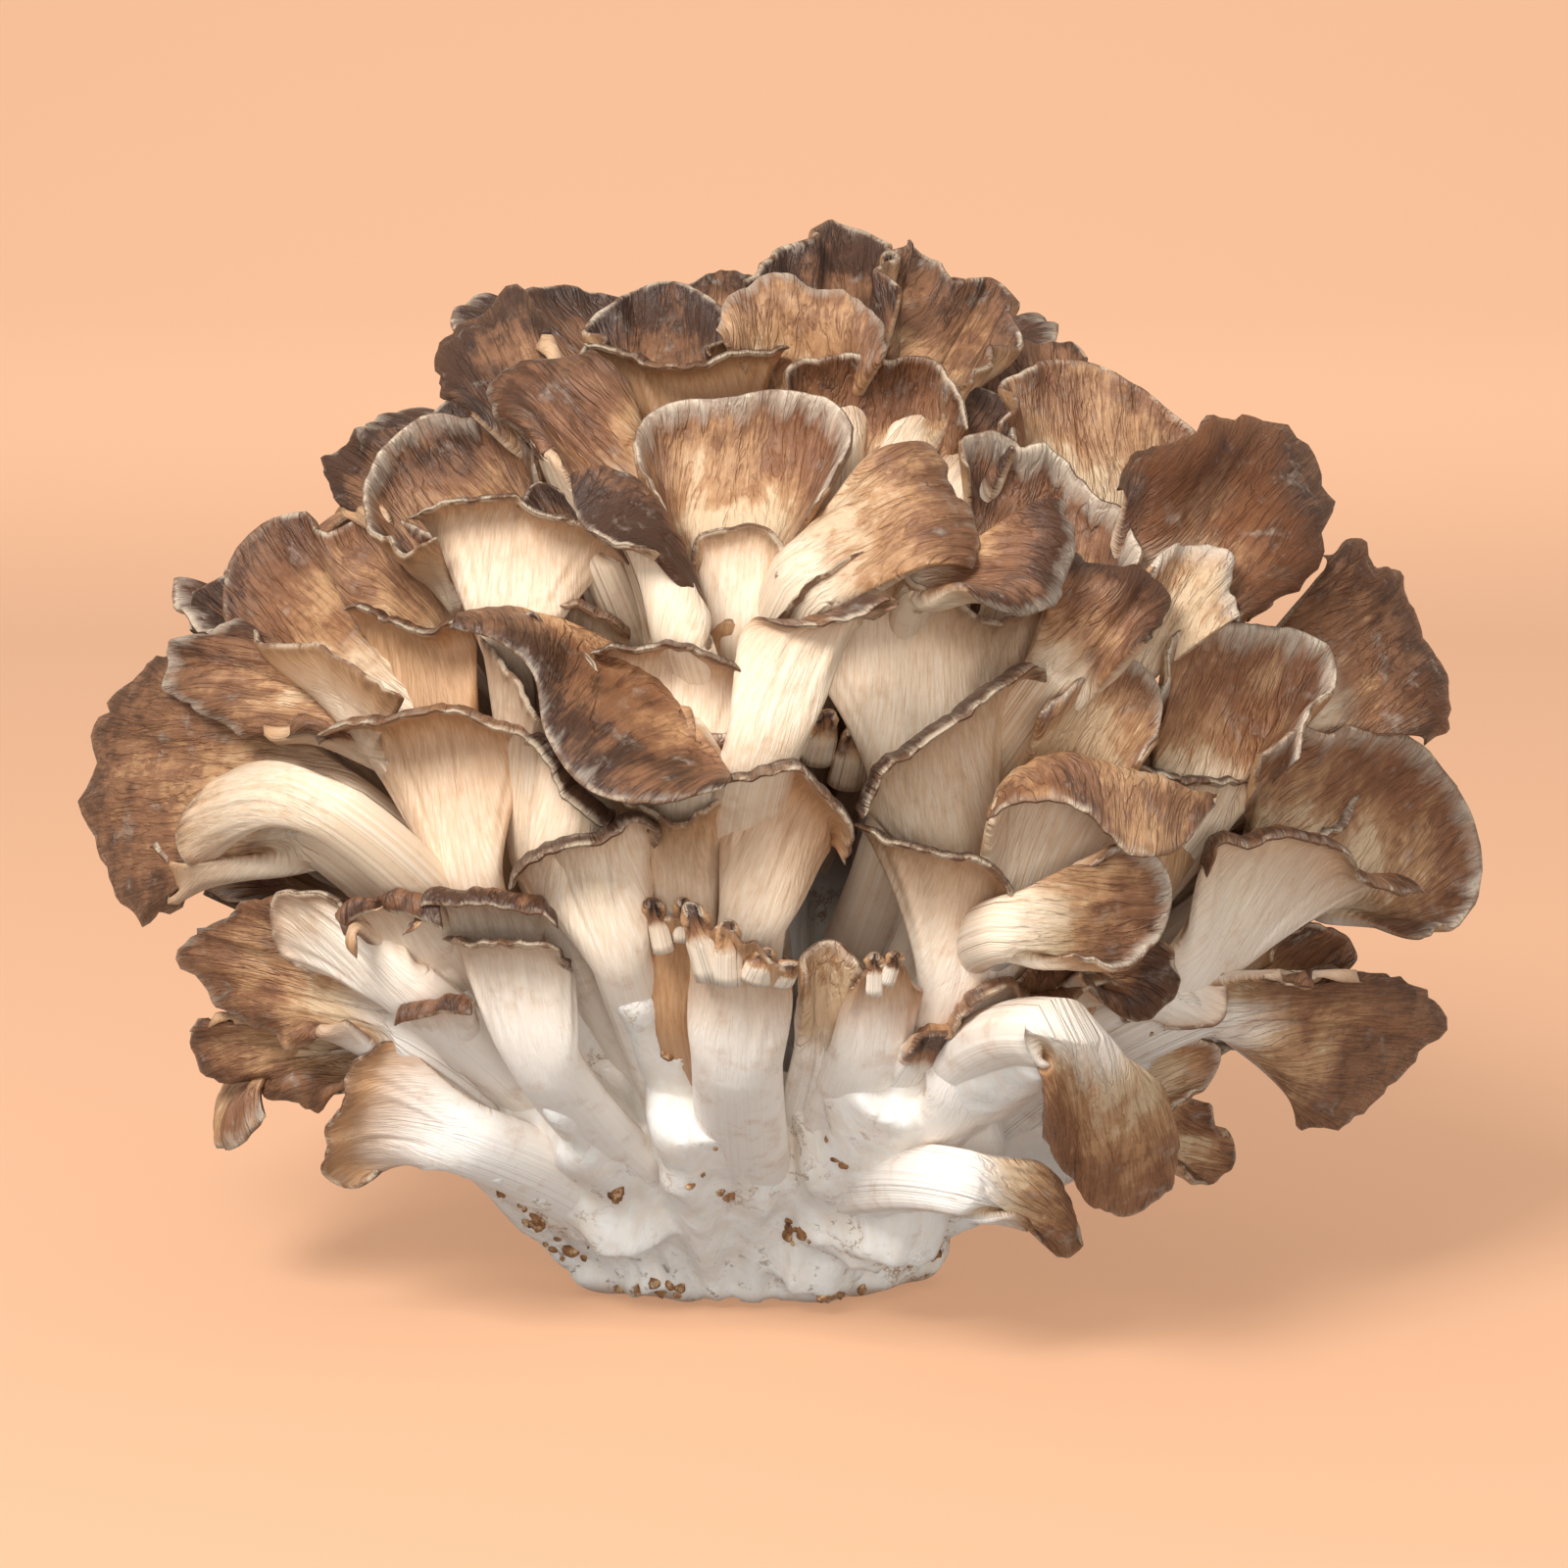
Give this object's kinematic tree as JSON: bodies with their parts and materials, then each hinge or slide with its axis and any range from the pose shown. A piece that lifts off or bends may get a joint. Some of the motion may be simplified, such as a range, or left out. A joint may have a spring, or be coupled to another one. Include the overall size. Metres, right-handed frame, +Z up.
{
  "type": "maitake mushroom",
  "caption": "Maitake (hen of the woods) cluster: a white branching foot with many curled, brown-topped, pale-backed fronds, standing on its cut foot.",
  "frame": {"origin": "centre of the flat cut foot, on the surface it stands on", "axes": "+Z up, +X to the right and +Y to the back of the side shown in the picture"},
  "size_m": [0.1887, 0.1646, 0.1475],
  "materials": {
    "stem_flesh": "matt white fibrous flesh with tan stains and dark specks",
    "frond": "matt brown radially streaked upper skin, cream underside, thin pale rim"
  },
  "bodies": {
    "root": {"base": "stem_flesh", "top_middle": "frond", "top_right": "frond", "top_left": "frond", "top_left_curl": "frond", "top_cup": "frond", "top_fan": "frond", "crown_spoon": "frond", "crown_tongue": "frond", "crown_right": "frond", "upper_ribbon": "frond", "left_trumpet": "frond", "upper_curl": "frond", "upper_shell": "frond", "right_dome": "frond", "right_far": "frond", "right_fold": "frond", "left_funnel": "frond", "left_lobed": "frond", "left_shade": "frond", "left_outer": "frond", "left_arm": "frond", "left_bell": "frond", "middle_leaf": "frond", "middle_bell": "frond", "middle_small": "frond", "middle_cap": "frond", "middle_trumpet": "frond", "right_fan": "frond", "right_wing": "frond", "right_lipped": "frond", "right_ear": "frond", "right_bell": "frond", "front_bell": "frond", "low_left_lobes": "frond", "low_left_pale": "frond", "low_stump": "frond", "front_horn": "frond", "front_stump": "frond", "low_curl": "frond", "low_tongue": "frond", "low_right_fan": "frond", "low_right_pale": "frond", "back_1_1": "frond", "back_1_2": "frond", "back_1_3": "frond", "back_1_4": "frond", "back_2_1": "frond", "back_2_2": "frond", "back_2_3": "frond", "back_2_4": "frond", "back_3_1": "frond", "back_3_2": "frond", "back_3_3": "frond", "back_3_4": "frond", "back_4_1": "frond", "back_4_2": "frond", "back_4_3": "frond", "back_5_1": "frond", "back_5_2": "frond"}
  },
  "joints": []
}
